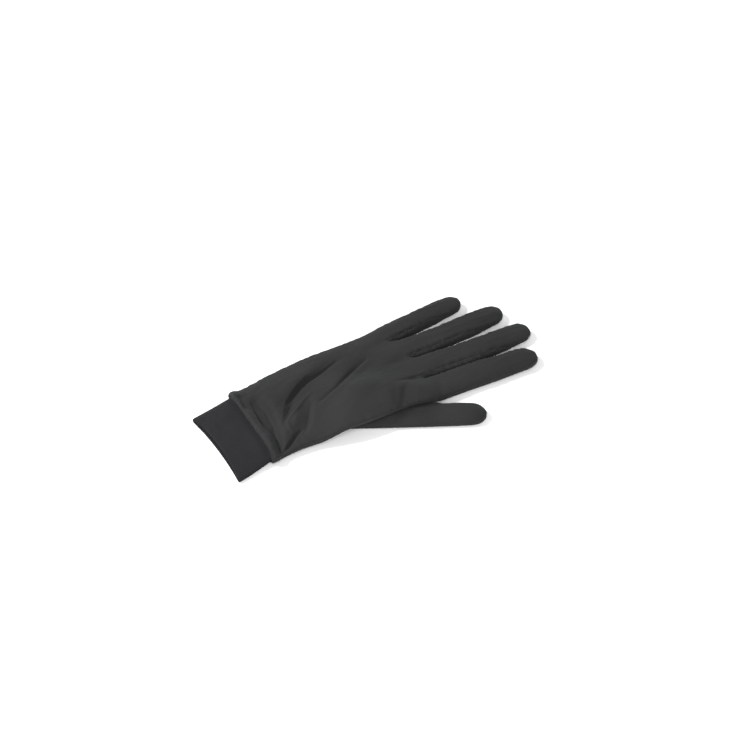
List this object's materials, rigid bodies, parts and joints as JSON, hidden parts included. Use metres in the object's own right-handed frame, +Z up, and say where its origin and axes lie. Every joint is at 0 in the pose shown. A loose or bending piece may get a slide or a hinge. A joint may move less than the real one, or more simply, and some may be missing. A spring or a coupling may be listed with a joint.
{
  "type": "glove liner",
  "caption": "Thin knitted glove liner for the left hand, lying back up, with a rib cuff under a gathered roll, sewn fourchettes and a set-in thumb.",
  "frame": {"origin": "on the surface that the glove lies on, under the middle of its bounding box", "axes": "+Z up out of the back of the hand, +Y from the cuff to the fingertips, +X to the thumb"},
  "size_m": [0.1224, 0.2524, 0.0189],
  "materials": {
    "liner_cloth": "matte fine jersey knit",
    "cuff_rib": "matte fine rib knit"
  },
  "bodies": {
    "root": {"back_panel": "liner_cloth", "palm_panel": "liner_cloth", "fourchette_index_middle": "liner_cloth", "fourchette_middle_ring": "liner_cloth", "fourchette_ring_little": "liner_cloth", "thumb": "liner_cloth", "cuff": "cuff_rib"}
  },
  "joints": []
}
